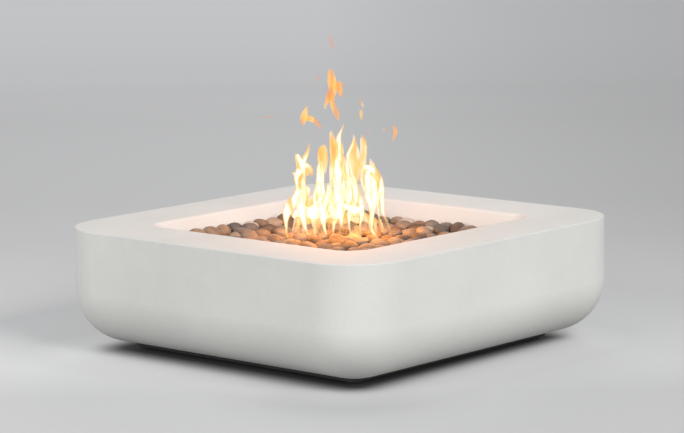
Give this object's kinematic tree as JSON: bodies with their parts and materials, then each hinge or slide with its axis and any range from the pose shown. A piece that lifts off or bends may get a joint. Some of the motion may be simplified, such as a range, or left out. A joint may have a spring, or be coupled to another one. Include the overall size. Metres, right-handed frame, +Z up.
{
  "type": "gas fire bowl",
  "caption": "Low square cast concrete gas fire bowl with river pebbles over a ring burner, a control niche in one side and levelling feet under a recessed frame.",
  "frame": {"origin": "centre of the footprint, on the floor", "axes": "+Z up; -Y and +X are the plain sides seen together from the front corner; the controls are in the +Y side"},
  "size_m": [1.067, 1.067, 0.324],
  "materials": {
    "cast_concrete": "fine matte cast glass-fibre concrete",
    "river_stone": "smooth tumbled river stones, brown, grey and cream",
    "stainless_steel": "brushed stainless steel",
    "black_coated_steel": "matte black powder coat",
    "zinc_steel": "zinc plated steel",
    "cast_brass": "turned brass",
    "valve_alloy": "as cast aluminium",
    "black_rubber": "black rubber",
    "white_ceramic": "glazed white insulator",
    "black_plastic": "black moulded plastic",
    "red_plastic": "red dipped plastic",
    "battery_case": "plain printed steel jacket, no label"
  },
  "bodies": {
    "root": {"air_mixer": "zinc_steel", "base_frame": "black_coated_steel", "bowl_shell": "cast_concrete", "box_screws": "stainless_steel", "bracket_bolts": "zinc_steel", "burner_elbow": "cast_brass", "burner_hose": "black_rubber", "burner_nipple": "zinc_steel", "burner_pan": "stainless_steel", "burner_ring": "stainless_steel", "cock_locknut": "zinc_steel", "control_box": "stainless_steel", "foot_inserts": "cast_brass", "foot_locknuts": "zinc_steel", "frame_bolts": "zinc_steel", "frame_inserts": "cast_brass", "gas_jet": "cast_brass", "gas_valve": "valve_alloy", "hose_nuts": "cast_brass", "igniter_battery": "battery_case", "igniter_housing": "black_plastic", "igniter_nut": "black_plastic", "igniter_spring": "zinc_steel", "ignition_lead": "red_plastic", "lead_grommets": "black_rubber", "nipple_locknuts": "zinc_steel", "pan_plugs": "black_plastic", "pan_screws": "stainless_steel", "river_pebbles": "river_stone", "sensor_bracket": "stainless_steel", "sensor_screws": "stainless_steel", "shutoff_bracket": "zinc_steel", "shutoff_valve": "cast_brass", "spark_electrode": "white_ceramic", "supply_hose": "black_rubber", "thermocouple": "stainless_steel", "thermocouple_lead": "stainless_steel", "valve_nut": "zinc_steel"},
    "foot_front_left": {"levelling_foot_front_left": "zinc_steel", "foot_pad_front_left": "black_rubber"},
    "foot_front_right": {"levelling_foot_front_right": "zinc_steel", "foot_pad_front_right": "black_rubber"},
    "foot_rear_left": {"levelling_foot_rear_left": "zinc_steel", "foot_pad_rear_left": "black_rubber"},
    "foot_rear_right": {"levelling_foot_rear_right": "zinc_steel", "foot_pad_rear_right": "black_rubber"},
    "valve_plunger": {"valve_plunger": "zinc_steel"},
    "valve_stem": {"valve_stem": "zinc_steel", "control_knob": "black_plastic"},
    "igniter_button": {"igniter_button": "black_plastic"},
    "shutoff_lever": {"shutoff_lever": "red_plastic", "shutoff_lever_nut": "zinc_steel"}
  },
  "joints": [
    {"name": "foot_front_left_turn", "type": "hinge", "parent": "root", "child": "foot_front_left", "pos_m": [-0.352, -0.352, 0.03], "axis": [0, 0, 1], "range_deg": [-2400, 960]},
    {"name": "foot_front_right_turn", "type": "hinge", "parent": "root", "child": "foot_front_right", "pos_m": [0.352, -0.352, 0.03], "axis": [0, 0, 1], "range_deg": [-2400, 960]},
    {"name": "foot_rear_left_turn", "type": "hinge", "parent": "root", "child": "foot_rear_left", "pos_m": [-0.352, 0.352, 0.03], "axis": [0, 0, 1], "range_deg": [-2400, 960]},
    {"name": "foot_rear_right_turn", "type": "hinge", "parent": "root", "child": "foot_rear_right", "pos_m": [0.352, 0.352, 0.03], "axis": [0, 0, 1], "range_deg": [-2400, 960]},
    {"name": "knob_push", "type": "slide", "parent": "root", "child": "valve_plunger", "axis": [0, -1, 0], "range_m": [0, 0.004], "stiffness_N_per_m": 1500, "springref_m": -0.004},
    {"name": "knob_turn", "type": "hinge", "parent": "valve_plunger", "child": "valve_stem", "pos_m": [-0.038, 0.5, 0.24], "axis": [0, 1, 0], "range_deg": [0, 180]},
    {"name": "igniter_push", "type": "slide", "parent": "root", "child": "igniter_button", "axis": [0, -1, 0], "range_m": [0, 0.004], "stiffness_N_per_m": 800, "springref_m": -0.005, "deforming": ["igniter_spring"]},
    {"name": "shutoff_turn", "type": "hinge", "parent": "root", "child": "shutoff_lever", "pos_m": [-0.15, 0.268, 0.07], "axis": [0, 0, 1], "range_deg": [0, 90]}
  ]
}
